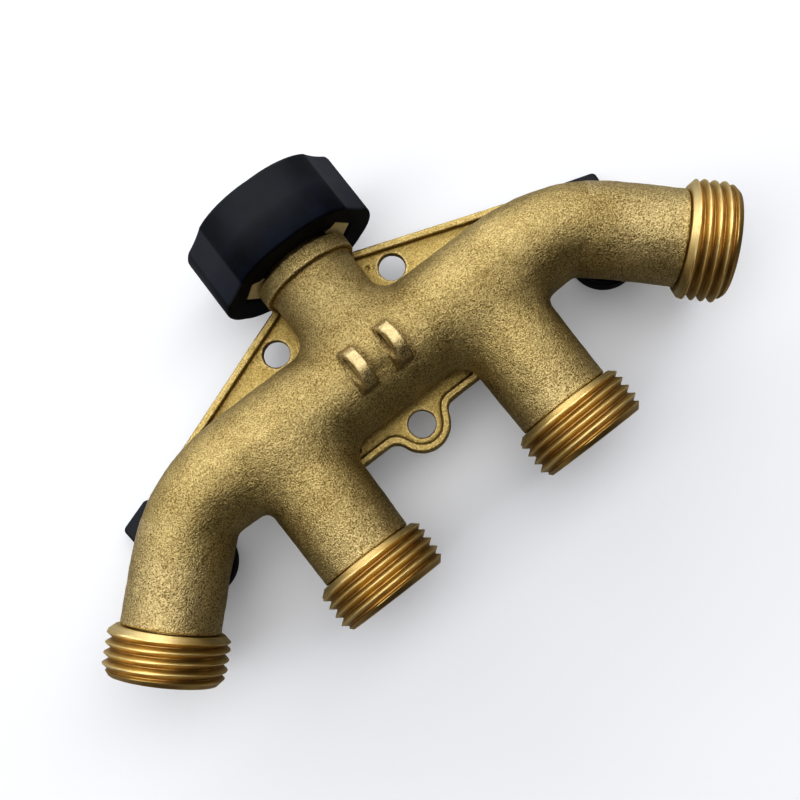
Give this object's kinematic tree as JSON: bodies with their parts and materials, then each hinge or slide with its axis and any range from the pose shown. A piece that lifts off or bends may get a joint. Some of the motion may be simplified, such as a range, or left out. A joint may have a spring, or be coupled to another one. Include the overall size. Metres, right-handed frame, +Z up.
{
  "type": "hose splitter",
  "caption": "Brass garden hose manifold: a black swivel nut inlet feeds a cast tube with male-threaded outlets, each with a quarter-turn ball valve, and a drilled mounting flange.",
  "frame": {"origin": "bottom centre of the bounding box, on the surface the four valve handles stand on", "axes": "+X along the manifold to the right outlets, +Y towards the inlet nut, +Z up, away from the handles"},
  "size_m": [0.175, 0.0886, 0.042],
  "materials": {
    "cast_brass": "sand-blasted casting",
    "turned_brass": "bright turned",
    "black_plastic": "fine moulded satin",
    "black_rubber": "matte",
    "white_ptfe": "waxy satin",
    "chrome_plate": "polished plate",
    "screw_steel": "zinc satin"
  },
  "bodies": {
    "casting": {"manifold_body": "cast_brass", "tailpiece_outer_left": "turned_brass", "outlet_seat_outer_left": "white_ptfe", "inlet_seat_outer_left": "white_ptfe", "stem_washer_outer_left": "white_ptfe", "tailpiece_inner_left": "turned_brass", "outlet_seat_inner_left": "white_ptfe", "inlet_seat_inner_left": "white_ptfe", "stem_washer_inner_left": "white_ptfe", "tailpiece_inner_right": "turned_brass", "outlet_seat_inner_right": "white_ptfe", "inlet_seat_inner_right": "white_ptfe", "stem_washer_inner_right": "white_ptfe", "tailpiece_outer_right": "turned_brass", "outlet_seat_outer_right": "white_ptfe", "inlet_seat_outer_right": "white_ptfe", "stem_washer_outer_right": "white_ptfe", "neck_snap_ring": "screw_steel", "inlet_washer": "black_rubber"},
    "valve_outer_left": {"valve_ball_outer_left": "chrome_plate", "valve_stem_outer_left": "turned_brass", "stem_o_ring_outer_left": "black_rubber", "valve_handle_outer_left": "black_plastic", "handle_screw_outer_left": "screw_steel"},
    "valve_inner_left": {"valve_ball_inner_left": "chrome_plate", "valve_stem_inner_left": "turned_brass", "stem_o_ring_inner_left": "black_rubber", "valve_handle_inner_left": "black_plastic", "handle_screw_inner_left": "screw_steel"},
    "valve_inner_right": {"valve_ball_inner_right": "chrome_plate", "valve_stem_inner_right": "turned_brass", "stem_o_ring_inner_right": "black_rubber", "valve_handle_inner_right": "black_plastic", "handle_screw_inner_right": "screw_steel"},
    "valve_outer_right": {"valve_ball_outer_right": "chrome_plate", "valve_stem_outer_right": "turned_brass", "stem_o_ring_outer_right": "black_rubber", "valve_handle_outer_right": "black_plastic", "handle_screw_outer_right": "screw_steel"},
    "swivel_nut": {"swivel_nut_grip": "black_plastic", "swivel_nut_insert": "turned_brass"}
  },
  "joints": [
    {"name": "valve_turn_outer_left", "type": "hinge", "parent": "casting", "child": "valve_outer_left", "pos_m": [-0.06129, -0.00969, 0.022], "axis": [0, 0, 1], "range_deg": [-63.2, 26.8]},
    {"name": "valve_turn_inner_left", "type": "hinge", "parent": "casting", "child": "valve_inner_left", "pos_m": [-0.0275, -0.0191, 0.022], "axis": [0, 0, 1], "range_deg": [-90, 0]},
    {"name": "valve_turn_inner_right", "type": "hinge", "parent": "casting", "child": "valve_inner_right", "pos_m": [0.0275, -0.0191, 0.022], "axis": [0, 0, 1], "range_deg": [0, 90]},
    {"name": "valve_turn_outer_right", "type": "hinge", "parent": "casting", "child": "valve_outer_right", "pos_m": [0.06129, -0.00969, 0.022], "axis": [0, 0, 1], "range_deg": [-26.8, 63.2]},
    {"name": "nut_swivel", "type": "hinge", "parent": "casting", "child": "swivel_nut", "pos_m": [0, 0.0365, 0.022], "axis": [0, 1, 0], "continuous": true}
  ]
}
